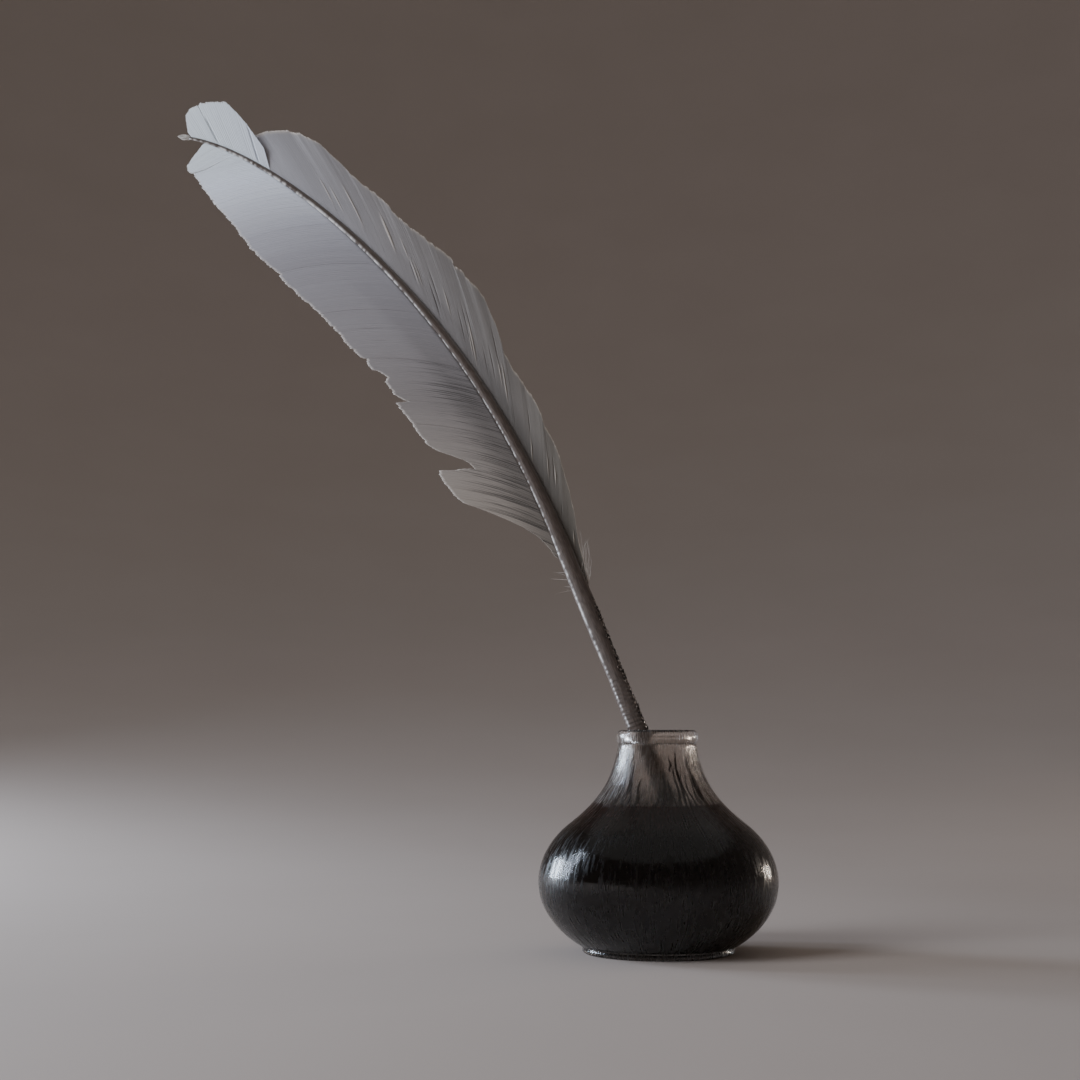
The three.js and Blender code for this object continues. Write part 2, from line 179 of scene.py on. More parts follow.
def even_turn(sides):
    """Even angles round a circle."""
    return np.linspace(0, 2 * math.pi, sides, endpoint=False)


def fan(middle, first, sides):
    """Triangles about a middle point, to a ring of points numbered from first."""
    k = np.arange(sides)
    return np.stack([np.full(sides, middle), first + (k + 1) % sides, first + k], 1)


def turn_profile(profile, sides):
    """A surface of revolution: the profile of radii and heights set out at even angles about the
    upright axis. It starts on the axis, closed there by a fan, and may end there too."""
    radius, height = profile
    ringed = radius > 1e-7
    angle = even_turn(sides)
    across = radius[ringed, None]
    rings = np.stack([across * np.cos(angle), across * np.sin(angle),
                      height[ringed, None] * np.ones(sides)], -1)
    count = len(rings) * sides
    points = [rings.reshape(-1, 3), [[0, 0, height[0]]]]
    faces = [grid_quads(len(rings), sides, closed=True), fan(count, 0, sides)]
    if not ringed[-1]:
        points.append([[0, 0, height[-1]]])
        faces.append(fan(count + 1, count - sides, sides)[:, [0, 2, 1]])
    return np.vstack(points), faces


FLAT_FLOOR, SWEEP_RADIUS, WALL_RISE = 0.3, 3.0, 0.2
climb = np.linspace(0, math.pi / 2, 60)
sweep_edge = FLAT_FLOOR + SWEEP_RADIUS
floor = add_object("floor", *turn_profile((
    np.r_[0, 0.02, FLAT_FLOOR * 0.3, FLAT_FLOOR + SWEEP_RADIUS * np.sin(climb), sweep_edge],
    np.r_[0, 0, 0, SWEEP_RADIUS * (1 - np.cos(climb)), SWEEP_RADIUS + WALL_RISE],
), 96))
floor.data.flip_normals()
floor_paint, floor_shader = plain_material("floor_paint", (0.46, 0.39, 0.35), 0.8)
colour_by(floor_paint, floor_shader, [(0, (0.45, 0.38, 0.34)), (1, (0.49, 0.42, 0.38))],
          Scale=7, Detail=3)
floor.data.materials.append(floor_paint)
floor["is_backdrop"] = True


def add_lamp(name, place, aim, size, power, colour, mirrored=True):
    """A soft rectangular lamp of a given width and height that faces the point it is aimed at. One
    that isn't mirrored lights the matt surfaces but shows neither in gloss nor through glass."""
    lamp = bpy.data.objects.new(name, bpy.data.lights.new(name, "AREA"))
    lamp.data.shape = "RECTANGLE"
    lamp.data.size, lamp.data.size_y = size
    lamp.data.energy = power
    lamp.data.color = colour
    lamp.location = place
    towards = np.array(aim) - np.array(place)
    level = math.hypot(towards[0], towards[1])
    lamp.rotation_euler = (math.atan2(level, -towards[2]), 0, math.atan2(-towards[0], towards[1]))
    lamp.visible_camera = False
    lamp.visible_glossy = mirrored
    lamp.visible_transmission = mirrored
    bpy.context.scene.collection.objects.link(lamp)


add_lamp("window", (-0.80, -0.50, 0.50), (-0.08, 0, 0.20), (0.5, 0.6), 9, (0.82, 0.90, 1.0), False)
add_lamp("window_edge", (-0.66, 0.38, 0.18), (0.0, 0, 0.05), (0.19, 0.24), 3.9, (0.72, 0.84, 1.0))
add_lamp("window_frame", (-0.74, 0.18, 0.33), (0.0, 0, 0.12), (0.10, 0.5), 2.2, (0.70, 0.81, 1.0))
add_lamp("warm_side", (0.66, 0.46, 0.11), (0.0, 0, 0.03), (0.09, 0.13), 0.7, (1.0, 0.88, 0.76))

world = bpy.data.worlds.new("studio_air")
world.use_nodes = True
sky = world.node_tree.nodes["Background"]
sky.inputs["Color"].default_value = (1.0, 0.95, 0.91, 1)
sky.inputs["Strength"].default_value = 0.26
bpy.context.scene.world = world


# ---- The bottle ----
# One piece of thick blown glass: a squat belly on a pressed foot, a neck that flares into it, and a
# bead of glass rolled round the mouth. Years of handling have scratched it, mostly up and down.

FOOT_RADIUS = 0.0230
BELLY_RADIUS = 0.0362
BELLY_HEIGHT = 0.0210
BELLY_DROP = 0.0248
BELLY_RISE = 0.0258
TURN_HEIGHT = 0.0386
NECK_RADIUS = 0.0118
NECK_HEIGHT = 0.0626
GLASS_WALL = 0.0021
FLOOR_TOP = 0.0044
LIP_INNER = 0.0093
LIP_OUTER = 0.01245
LIP_TOP = 0.0666
FOOT_RIM = 0.0010
BEAD_MIDDLE = NECK_HEIGHT + 0.0017


def belly_and_neck(inset, low, steps=40):
    """Radius and height up the bottle's side, moved inwards by inset: an ellipse below the widest
    ring, a second one above it, and from the shoulder a cubic curve that flares into the neck."""
    radius = BELLY_RADIUS - inset
    turn = TURN_HEIGHT - 0.6 * inset
    first = math.asin((low - BELLY_HEIGHT) / (BELLY_DROP - inset))
    last = math.asin((turn - BELLY_HEIGHT) / (BELLY_RISE - inset))
    below = np.linspace(first, 0, steps)[:-1]
    above = np.linspace(0, last, steps // 2)
    lower = [radius * np.cos(below), BELLY_HEIGHT + (BELLY_DROP - inset) * np.sin(below)]
    upper = [radius * np.cos(above), BELLY_HEIGHT + (BELLY_RISE - inset) * np.sin(above)]
    guides = np.array([
        [radius * math.cos(last), turn],
        [0.0175 - inset, 0.0456 - 0.6 * inset],
        [0.0135 - inset, 0.0515],
        [NECK_RADIUS - inset, NECK_HEIGHT],
    ])
    t = np.linspace(0, 1, steps)[1:, None]
    shares = np.hstack([(1 - t) ** 3, 3 * t * (1 - t) ** 2, 3 * t**2 * (1 - t), t**3])
    flare = (shares @ guides).T
    return np.concatenate([lower, upper, flare], 1)


def ellipse_arc(centre, radii, start, end, steps):
    """Radius and height round part of an ellipse, between two angles in degrees."""
    angle = np.radians(np.linspace(start, end, steps))
    return np.array([centre[0] + radii[0] * np.cos(angle), centre[1] + radii[1] * np.sin(angle)])


foot_edge = ellipse_arc((FOOT_RADIUS - FOOT_RIM, FOOT_RIM), (FOOT_RIM, FOOT_RIM), -90, 50, 9)
hollow = np.array([[0, 0.006, 0.0125, 0.0185, 0.0205], [0.0012, 0.0011, 0.0008, 0.0002, 0]])
bead = ellipse_arc(
    ((LIP_INNER + LIP_OUTER) / 2, BEAD_MIDDLE),
    ((LIP_OUTER - LIP_INNER) / 2, LIP_TOP - BEAD_MIDDLE),
    -62, 225, 28,
)
outside = belly_and_neck(0, 0.0024)
inside = belly_and_neck(GLASS_WALL, FLOOR_TOP)[:, ::-1]
well_floor = np.array([[0.012, 0.006, 0], [FLOOR_TOP, FLOOR_TOP + 0.0002, FLOOR_TOP + 0.0003]])
profile = np.concatenate([hollow, foot_edge, outside, bead, inside, well_floor], 1)
glass = add_object("bottle_glass", *turn_profile(profile, 160))

# The scratches are a fine noise that is stretched up each meridian of the bottle. They dull the
# gloss and dent the surface, less so on the lip.
scratched, glass_shader = plain_material("scratched_glass", (0.88, 0.83, 0.79), 0.1)
glass_shader.inputs["Transmission Weight"].default_value = 1
glass_shader.inputs["IOR"].default_value = 1.5
place = add_node(scratched, "TexCoord")
flatten = add_node(scratched, "Mapping", Scale=(1, 1, 0))
around = add_node(scratched, "VectorMath", operation="NORMALIZE")
spread = add_node(scratched, "VectorMath", operation="SCALE", Scale=0.03)
upright = add_node(scratched, "Mapping", Scale=(0, 0, 0.16))
grain_place = add_node(scratched, "VectorMath", operation="ADD")
scratches = add_node(scratched, "TexNoise", Scale=1150, Detail=3, Roughness=0.6)
haze = add_node(scratched, "MapRange", From_Min=0.46, From_Max=0.66, To_Min=0.11, To_Max=0.42)
height = add_node(scratched, "SeparateXYZ")
worn_less = add_node(scratched, "MapRange", From_Min=0.06, From_Max=0.0635, To_Min=0.8, To_Max=0.15)
dents = add_node(scratched, "Bump", Distance=0.00009)
wire(
    scratched,
    (place, "Object", flatten, "Vector"),
    (flatten, "Vector", around, 0),
    (around, "Vector", spread, 0),
    (place, "Object", upright, "Vector"),
    (spread, "Vector", grain_place, 0),
    (upright, "Vector", grain_place, 1),
    (grain_place, "Vector", scratches, "Vector"),
    (scratches, "Fac", haze, "Value"),
    (haze, "Result", glass_shader, "Roughness"),
    (place, "Object", height, "Vector"),
    (height, "Z", worn_less, "Value"),
    (worn_less, "Result", dents, "Strength"),
    (scratches, "Fac", dents, "Height"),
    (dents, "Normal", glass_shader, "Normal"),
)
glass.data.materials.append(scratched)
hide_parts("bottle_body", "lip_ring", "foot_disc")
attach(glass, "bottle")


# ---- The ink ----
# Black iron ink fills the belly to the base of the neck and creeps a little up the glass. It meets
# the glass all over, so no air shows between them, and it is browner where it thins at the top.

INK_LEVEL = 0.0430
CREEP = 0.0007
INK_OVERLAP = 0.0001


def ink_profile():
    """Radius and height of the ink: the bottle's inner wall, grown a little into the glass, up to
    the level, then a flat top that rises to the wall in a short hollow curve."""
    floor_height = FLOOR_TOP - INK_OVERLAP
    side = belly_and_neck(GLASS_WALL - INK_OVERLAP, floor_height)
    side = side[:, side[1] < INK_LEVEL + CREEP]
    edge = side[0, -1]
    inwards = np.linspace(0, 0.004, 9)
    rise = CREEP * np.exp(-inwards / 0.0009)
    top = np.array([edge - inwards, INK_LEVEL + rise])
    floor_line = np.array([[0, 0.008], [floor_height, floor_height]])
    return np.concatenate([floor_line, side, top, [[0], [INK_LEVEL]]], 1)


ink = add_object("ink_fill", *turn_profile(ink_profile(), 128))
iron_ink, ink_shader = plain_material("iron_ink", (0.004, 0.003, 0.004), 0.08)
ink_shader.inputs["Specular IOR Level"].default_value = 0.12
ink_place = add_node(iron_ink, "TexCoord")
ink_height = add_node(iron_ink, "SeparateXYZ")
ink_edge = add_node(iron_ink, "MapRange", From_Min=0.0350, From_Max=0.0436)
ink_tone = tone_ramp(iron_ink, [(0, (0.003, 0.002, 0.003)), (1, (0.045, 0.018, 0.014))])
wire(
    iron_ink,
    (ink_place, "Object", ink_height, "Vector"),
    (ink_height, "Z", ink_edge, "Value"),
    (ink_edge, "Result", ink_tone, "Fac"),
    (ink_tone, "Color", ink_shader, "Base Color"),
)
ink.data.materials.append(iron_ink)
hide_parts("ink")
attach(ink, "bottle")


# ---- Ink dried inside the neck ----
# Every dip of the pen has left a run of ink down the inside of the neck. The runs lie close
# together near the ink and thin out towards the mouth.

RUN_THICKNESS = 0.00012
RUN_SUNK = 0.00003
HIGHEST_RUN = 0.0618


def inner_wall(height):
    """Radius of the bottle's inner wall at a height, read off its own outline."""
    radius, heights = belly_and_neck(GLASS_WALL, FLOOR_TOP)
    return np.interp(height, heights, radius)


def join_shells(shells):
    """Many closed shells as one: each one's corner numbers are moved on by the number of points
    before it."""
    starts = np.cumsum([0] + [len(points) for points, _ in shells[:-1]])
    points = np.vstack([points for points, _ in shells])
    faces = [f + start for (_, shell_faces), start in zip(shells, starts) for f in shell_faces]
    by_size = [np.vstack([f for f in faces if f.shape[1] == n]) for n in (3, 4)
               if any(f.shape[1] == n for f in faces)]
    return points, by_size


def close_plate(front, back):
    """A closed shell from two grids of points: both grids' quads, the back ones turned round, and
    a strip of quads round the rim between them."""
    rows, columns = front.shape[:2]
    count = rows * columns
    near = grid_quads(rows, columns)
    number = np.arange(count).reshape(rows, columns)
    rim = np.concatenate([number[0], number[1:, -1], number[-1, -2::-1], number[-2:0:-1, 0]])
    onward = np.roll(rim, -1)
    strip = np.stack([onward, rim, rim + count, onward + count], 1)
    points = np.vstack([front.reshape(-1, 3), back.reshape(-1, 3)])
    return points, [np.vstack([near, near[:, ::-1] + count, strip])]


def ink_run(angle, low, high, width):
    """One run of ink: a ribbon on the inner wall between two heights. It is widest a third of the
    way up, narrows to points, and wanders a little to each side."""
    up = np.linspace(0, 1, 22)[:, None]
    across = np.linspace(-1, 1, 5)[None, :]
    height = low + (high - low) * up
    half = width * np.sin(math.pi * up**0.7) ** 0.8 + 0.00002
    wall = inner_wall(height) + 0 * across
    turn = angle + across * half / wall + 0.02 * np.sin(9 * up + 7 * angle)

    def skin(depth):
        reach = wall - depth * (1 - across**2)
        return np.stack([reach * np.cos(turn), reach * np.sin(turn), height + 0 * across], -1)

    return close_plate(skin(RUN_THICKNESS), skin(-RUN_SUNK))


chance = np.random.default_rng(7)
runs = []
for angle in even_turn(120):
    turn = angle + chance.uniform(-0.03, 0.03)
    top = INK_LEVEL + 0.0015 + 0.0165 * chance.random() ** 1.8
    runs.append(ink_run(turn, INK_LEVEL - 0.001, top, chance.uniform(0.00012, 0.0005)))
for angle in chance.uniform(0, 2 * math.pi, 26):
    low = INK_LEVEL + chance.uniform(0.005, 0.012)
    high = low + chance.uniform(0.004, 0.008)
    runs.append(ink_run(angle, low, min(high, HIGHEST_RUN), chance.uniform(0.0001, 0.0003)))
ink_runs = add_object("ink_runs", *join_shells(runs))
dried_ink, dried_shader = plain_material("dried_ink", (0.02, 0.01, 0.008), 0.3)
colour_by(dried_ink, dried_shader, [(0, (0.008, 0.004, 0.004)), (1, (0.055, 0.028, 0.020))],
          Scale=700, Detail=4)
ink_runs.data.materials.append(dried_ink)
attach(ink_runs, "bottle")


# ---- The line of the shaft ----
# A goose's flight feather. It is straight as far as the vane, then bends evenly to one side, with a
# quick curl at the very tip, and it also bows slightly towards the front.

QUILL_LENGTH = 0.3095
NIB = np.array([0.0191, 0, 0.0059])
LEAN, BEND, TIP_HOOK = 22.2, 41.5, 21.3
BEND_START = 0.1255
BOW = 0.0025


def bend_share(s):
    """How far a point is through the bend: 0 where the bend starts and 1 at the tip."""
    return np.clip((s - BEND_START) / (QUILL_LENGTH - BEND_START), 0, None)


def lean_at(s):
    """Lean from upright, in radians, at a distance from the nib: constant, then two powers of the
    share of the bend, a low one for the long curve and a high one for the curl at the tip."""
    u = bend_share(s)
    return np.radians(LEAN + BEND * u**1.16 + TIP_HOOK * u**12.5)


walk = np.linspace(0, 0.32, 3201)
half_way = (walk[1:] + walk[:-1]) / 2
stride = walk[1] - walk[0]
walk_x = NIB[0] - np.r_[0, np.cumsum(np.sin(lean_at(half_way)) * stride)]
walk_z = NIB[2] + np.r_[0, np.cumsum(np.cos(lean_at(half_way)) * stride)]


def shaft_at(s):
    """The shaft's centre at a distance from the nib: its lean, added up in tenth-millimetre
    steps, and a bow towards the front that grows as the square of the share of the bend."""
    s = np.asarray(s, float)
    return np.stack([np.interp(s, walk, walk_x), -BOW * bend_share(s) ** 2,
                     np.interp(s, walk, walk_z)], -1)


def through(stations):
    """A smooth curve of value against distance through a few stations, both in millimetres: cubic
    pieces whose slope at each station is the slope between its neighbours."""
    at, value = np.array(stations, float).T / 1000
    slope = np.gradient(value, at)

    def curve(s):
        s = np.clip(s, at[0], at[-1])
        k = np.clip(np.searchsorted(at, s, side="right") - 1, 0, len(at) - 2)
        gap = at[k + 1] - at[k]
        t = (s - at[k]) / gap
        return (
            value[k] * (1 + 2 * t) * (1 - t) ** 2
            + slope[k] * gap * t * (1 - t) ** 2
            + value[k + 1] * t**2 * (3 - 2 * t)
            + slope[k + 1] * gap * t**2 * (t - 1)
        )

    return curve


def round_shaft(s, angle, radius):
    """Points about the shaft: out from its centre by radius, at an angle that is 0 on the side of
    the narrow vane and a quarter turn at the back."""
    s, angle, radius = np.broadcast_arrays(s, angle, radius)
    lean = lean_at(s)
    across = np.stack([np.cos(lean), 0 * lean, np.sin(lean)], -1)
    back = np.array([0, 1.0, 0])
    out = across * np.cos(angle)[..., None] + back * np.sin(angle)[..., None]
    return shaft_at(s) + out * radius[..., None]


def wander(x, step, seed):
    """A smooth random curve between -1 and 1: random values one step apart, eased into each other
    with half a cosine."""
    knots = np.random.default_rng(seed).uniform(-1, 1, 4096)
    place = np.asarray(x, float) / step
    low = np.floor(place).astype(int)
    ease = (1 - np.cos(math.pi * (place - low))) / 2
    return knots[low % 4096] * (1 - ease) + knots[(low + 1) % 4096] * ease


# ---- The barrel ----
# The hollow, horny root of the feather. A long scoop, two shoulders and a slit make its end a nib.
# Rings show where it grew, just above the bottle's mouth, and ink has stained it lower down.

BARREL_END = 0.0820
BARREL_WALL = 0.00055
RING_PITCH = 0.00136
RINGS_FROM, RINGS_TO = 0.060, 0.084
SLIT_LENGTH = 0.008
RIDGE_ANGLE = 1.2 * math.pi
SLIT_EDGE = 0.035
barrel_radius = through([[0, 2.3], [12, 2.7], [25, 2.85], [60, 2.82], [85, 2.7], [100, 2.7]])
cut_angles = [0, SLIT_EDGE, SLIT_EDGE + 0.012, 0.24, 0.36, 0.57, 0.9, 1.15, 1.5, 2.0, 2.6,
              math.pi]
cut_heights = [SLIT_LENGTH, SLIT_LENGTH, 0, 0, 0.0045, 0.008, 0.010, 0.013, 0.0155, 0.018, 0.0196,
               0.0203]


def ridge_and_highlight(s, angle, seed):
    """How much a point belongs to the ridge up the wide vane's side of the shaft's front, which is
    raised a little and painted white as a highlight: a bell curve across it that widens towards the
    tip and is broken up along its length into glints."""
    off = (angle - RIDGE_ANGLE + math.pi) % (2 * math.pi) - math.pi
    width = 0.12 + 0.55 * np.clip((s - 0.20) / 0.08, 0, 1)
    broken = np.clip(0.55 + 0.8 * wander(s, 0.0007, seed) + 0.35 * wander(s, 0.004, seed + 1), 0, 1)
    return np.exp(-((off / width) ** 2)) * broken


def barrel_skin(depth):
    """The barrel at a depth below its surface. Each line up the barrel starts where the pen-knife
    left it, which depends on its angle from the tongue, and ends at the top of the barrel."""
    fine = np.linspace(0.5, 4, 18)
    half = np.unique(np.r_[cut_angles, fine * 0.24, np.linspace(0.9, math.pi, 22)])
    turn = np.r_[half, -half[1:-1][::-1]]
    start = np.interp(np.abs(turn), cut_angles, cut_heights)
    share = np.r_[np.linspace(0, 0.72, 60), np.linspace(0.72, 1, 150)[1:]][:, None]
    s = start + (BARREL_END - start) * share
    rings = 0.5 - 0.5 * np.cos(2 * math.pi * s / RING_PITCH)
    ringed = np.clip((s - RINGS_FROM) / 0.006, 0, 1) * np.clip((RINGS_TO - s) / 0.006, 0, 1)
    unevenness = wander(s, 0.002, 21) + wander(s, 0.0006, 22) * 0.5
    swell = 0.00014 * rings * ringed + 0.00002 * unevenness
    swell = swell + 0.00008 * ridge_and_highlight(s, math.pi - turn, 23)
    flutes = 0.00002 * np.cos(9 * turn) * np.clip(s / 0.03, 0, 1)
    radius = barrel_radius(s) + swell + flutes - depth
    return round_shaft(s, math.pi - turn, radius), s, turn + 0 * s


outer, outer_s, outer_turn = barrel_skin(0)
inner, _, _ = barrel_skin(BARREL_WALL)


def close_tube(outer, inner):
    """A closed tube wall from an outer and an inner grid of rings, joined at both ends."""
    rows, sides = outer.shape[:2]
    count = rows * sides
    wall = grid_quads(rows, sides, closed=True)
    k = np.arange(sides)
    k_next = (k + 1) % sides
    last = (rows - 1) * sides
    bottom = np.stack([k_next, k, k + count, k_next + count], 1)
    top = (bottom + last)[:, [1, 0, 3, 2]]
    points = np.vstack([outer.reshape(-1, 3), inner.reshape(-1, 3)])
    return points, [np.vstack([wall, wall[:, ::-1] + count, bottom, top])]


def set_attribute(piece, name, values):
    """A number at each point of a piece, which its material reads by name."""
    attribute = piece.data.attributes.new(name, "FLOAT", "POINT")
    attribute.data.foreach_set("value", np.asarray(values, np.float32).ravel())


def face_out(piece):
    """Turns a closed piece's faces outwards: they face in if the volume they enclose, summed over
    their triangles, is negative."""
    mesh = piece.data
    mesh.calc_loop_triangles()
    co = np.empty(len(mesh.vertices) * 3, np.float32)
    mesh.vertices.foreach_get("co", co)
    tri = np.empty(len(mesh.loop_triangles) * 3, np.int32)
    mesh.loop_triangles.foreach_get("vertices", tri)
    a, b, c = co.reshape(-1, 3)[tri.reshape(-1, 3)].astype(float).transpose(1, 0, 2)
    if np.einsum("ij,ij->", a, np.cross(b, c)) < 0:
        mesh.flip_normals()


barrel = add_object("barrel_horn", *close_tube(outer, inner))
set_attribute(barrel, "along", np.stack([outer_s, outer_s]) * 10)
set_attribute(barrel, "turn", np.stack([outer_turn, outer_turn]) / math.pi)
# The ridge line is painted white on the barrel's outer skin: a painted highlight.
ridge = 0.6 * ridge_and_highlight(outer_s, math.pi - outer_turn, 23)
set_attribute(barrel, "painted_highlight", np.stack([ridge, 0 * ridge]))
face_out(barrel)


def horn_material(name):
    """Horn: grey-brown, streaked along its length, stained black below the ink, and shiny, with a
    white highlight line painted up its ridge. It reads the attributes along, in decimetres from the
    nib, turn, round the shaft, and painted_highlight, which whitens it into that painted highlight."""
    horn, shader = plain_material(name, (0.2, 0.17, 0.15), 0.3)
    shader.inputs["Coat Weight"].default_value = 1
    shader.inputs["Coat Roughness"].default_value = 0.1
    shader.inputs["Coat IOR"].default_value = 1.7
    along, turn, painted_highlight = [
        add_node(horn, "Attribute", attribute_name=name) for name in ("along", "turn", "painted_highlight")
    ]
    place = add_node(horn, "CombineXYZ")
    stretch = add_node(horn, "Mapping", Scale=(9, 14, 1))
    streaks = add_node(horn, "TexNoise", Scale=2.2, Detail=5, Roughness=0.6)
    tone = tone_ramp(horn, [(0.3, (0.042, 0.031, 0.026)), (0.72, (0.135, 0.104, 0.088))])
    stain_edge = add_node(horn, "TexNoise", Scale=6, Detail=4)
    wetted = add_node(horn, "Math", operation="MULTIPLY_ADD")
    wetted.inputs[1].default_value = 0.05
    stain = add_node(horn, "MapRange", From_Min=0.44, From_Max=0.50)
    stained = add_node(horn, "Mix", data_type="RGBA", A=(0.006, 0.004, 0.005, 1))
    # Painted highlight: mixes the horn towards white along the ridge line.
    highlighted = add_node(horn, "Mix", data_type="RGBA", B=(0.95, 0.94, 0.92, 1))
    wire(
        horn,
        (turn, "Fac", place, "X"),
        (along, "Fac", place, "Y"),
        (place, "Vector", stretch, "Vector"),
        (stretch, "Vector", streaks, "Vector"),
        (streaks, "Fac", tone, "Fac"),
        (stretch, "Vector", stain_edge, "Vector"),
        (stain_edge, "Fac", wetted, 0),
        (along, "Fac", wetted, 2),
        (wetted, "Value", stain, "Value"),
        (stain, "Result", stained, "Factor"),
        (tone, "Color", highlighted, "A"),
        (painted_highlight, "Fac", highlighted, "Factor"),
        (highlighted, "Result", stained, "B"),
        (stained, "Result", shader, "Base Color"),
    )
    roughen(horn, shader, streaks, "Fac", Strength=0.4, Distance=0.00008)
    return horn


horn = horn_material("goose_horn")
barrel.data.materials.append(horn)
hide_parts("barrel")
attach(barrel, "quill")


# ---- The shaft ----
# Above the barrel the shaft is filled with pith and tapers to a hair. It is fuller at the front
# than at the back, where a groove runs its whole length, and small swellings catch the light.

RACHIS_END = 0.3064
shaft_radius = through([
    [70, 2.75], [82, 2.7], [105, 2.82], [125, 2.55], [150, 2.0], [185, 1.62], [225, 1.25],
    [265, 0.9], [295, 0.58], [310, 0.42], [320, 0.3],
])


def cap_rings(rings):
    """A closed solid from a grid of rings, with a fan of triangles about the middle of each end."""
    rows, sides = rings.shape[:2]
    count = rows * sides
    points = np.vstack([rings.reshape(-1, 3), rings[0].mean(0)[None], rings[-1].mean(0)[None]])
    last_fan = fan(count + 1, count - sides, sides)[:, [0, 2, 1]]
    return points, [grid_quads(rows, sides, closed=True), fan(count, 0, sides), last_fan]


s = np.r_[np.arange(BARREL_END, RACHIS_END, 0.0004), RACHIS_END][:, None]
turn = even_turn(40)[None, :]
groove = 0.22 * np.exp(-(((turn - math.pi / 2) / 0.42) ** 2)) * np.clip((s - 0.10) / 0.03, 0, 1)
swellings = 0.018 * wander(s, 0.0011, 31) + 0.012 * wander(s, 0.0031, 32)
knots = 0.014 * np.clip(wander(s * (1 + 0 * turn) + 0.0003 * turn, 0.0008, 33) - 0.4, 0, 1)
# The ridge is raised a little and painted white: a painted highlight broken into glints.
ridge = ridge_and_highlight(s, turn, 34)
radius = shaft_radius(s) * (1 - groove + swellings + knots + 0.06 * ridge)
rachis = add_object("rachis_horn", *cap_rings(round_shaft(s, turn, radius)))
ends = [BARREL_END * 10, RACHIS_END * 10]
set_attribute(rachis, "along", np.r_[(s * 10 + 0 * turn).ravel(), ends])
set_attribute(rachis, "turn", np.r_[(turn / math.pi + 0 * s).ravel(), 0, 0])
set_attribute(rachis, "painted_highlight", np.r_[ridge.ravel(), 0, 0])
face_out(rachis)
rachis.data.materials.append(horn)
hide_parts("rachis")
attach(rachis, "quill")


# ---- Pith and dried pulp ----
# White foamy pith fills the shaft. In the barrel only thin cups of dried pulp are left, one inside
# the next on a thread.

dry_pith, pith_shader = plain_material("dry_pith", (0.62, 0.57, 0.49), 0.9)
pith_cells = colour_by(
    dry_pith, pith_shader, [(0, (0.48, 0.43, 0.36)), (1, (0.72, 0.67, 0.58))],
    "TexVoronoi", "Distance", Scale=2200,
)
roughen(dry_pith, pith_shader, pith_cells, "Distance", Strength=0.5, Distance=0.0001)
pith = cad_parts["pith"]
pith.data.materials.clear()
pith.data.materials.append(dry_pith)


def pulp_profile(first, cups, pitch):
    """Radius and distance up the barrel for a thread with cups on it: each cup spreads in a curve
    from the thread to a thin rim near the barrel's wall and comes back under itself."""
    thread, skin = 0.00035, 0.00008
    spread = np.linspace(0, 1, 9)
    radius, along = [thread], [first - 0.002]
    for cup in range(cups):
        start = first + cup * pitch
        rim = barrel_radius(start) - BARREL_WALL - 0.0003
        out = thread + (rim - thread) * np.sin(spread * math.pi / 2)
        up = start + 0.0026 * spread**1.6
        radius += [*out, *out[::-1]]
        along += [*up, *(up[::-1] + 4 * skin - 3 * skin * spread[::-1])]
    return np.array([[*radius, thread], [*along, BARREL_END - 0.002]])


pulp_radius, pulp_along = pulp_profile(first=0.034, cups=6, pitch=0.0073)[:, :, None]
pulp_turn = even_turn(40)[None, :]
rings = round_shaft(pulp_along, pulp_turn, pulp_radius * (1 + 0.05 * np.sin(3 * pulp_turn)))
pulp = add_object("pulp_cups", *cap_rings(rings))
face_out(pulp)
pulp.data.materials.append(dry_pith)
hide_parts("barrel_membrane")
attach(pulp, "quill")


# ---- The ring of wet ink ----
# Where the shaft stands in the ink, a film clings round it and climbs unevenly. It turns and slides
# on the shaft's own axis.

collar_low, collar_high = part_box("ink_collar")
collar_height = (collar_low.z + collar_high.z) / 2
collar_s = (collar_height - NIB[2]) / math.cos(math.radians(LEAN))
turn = even_turn(64)[None, :]
up = np.linspace(0, 1, 14)[:, None]
crest = 0.0012 + 0.0004 * np.sin(2 * turn + 1) + 0.00025 * np.sin(5 * turn)
s = collar_s - 0.0012 + (0.0012 + crest) * up
film = 0.00015 + 0.0004 * (1 - up) ** 2 + 0 * turn
inner_radius = barrel_radius(s) + 0.00008
collar = add_object("ink_collar_film", *close_tube(
    round_shaft(s, turn, inner_radius + film),
    round_shaft(s, turn, inner_radius),
))
face_out(collar)
clinging_ink, clinging_shader = plain_material("clinging_ink", (0.006, 0.004, 0.006), 0.12)
clinging_place = add_node(clinging_ink, "TexCoord")
clinging_grain = add_node(clinging_ink, "TexNoise", Scale=900, Detail=2)
wire(clinging_ink, (clinging_place, "Object", clinging_grain, "Vector"))
roughen(clinging_ink, clinging_shader, clinging_grain, "Fac", Strength=0.3, Distance=0.0001)
collar.data.materials.append(clinging_ink)
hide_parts("ink_collar")
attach(collar, "collar")


# ---- The vane ----
# Hundreds of barbs grow from each side of the shaft, hooked into a thin web. They leave the shaft
# at an angle and curve out; old tears have split the web into locks that overlap like tiles.

BARB_PITCH = 0.00062
SAMPLES = 4
EDGE_REACH = 0.0005
CREASE_WIDTH = 0.00034
UNEVEN_ENDS = 0.00012
NOTCH = 0.00022
SHORTEST_BARB = 0.0008
EDGE_THICKNESS, ROOT_THICKNESS = 0.00005, 0.00011
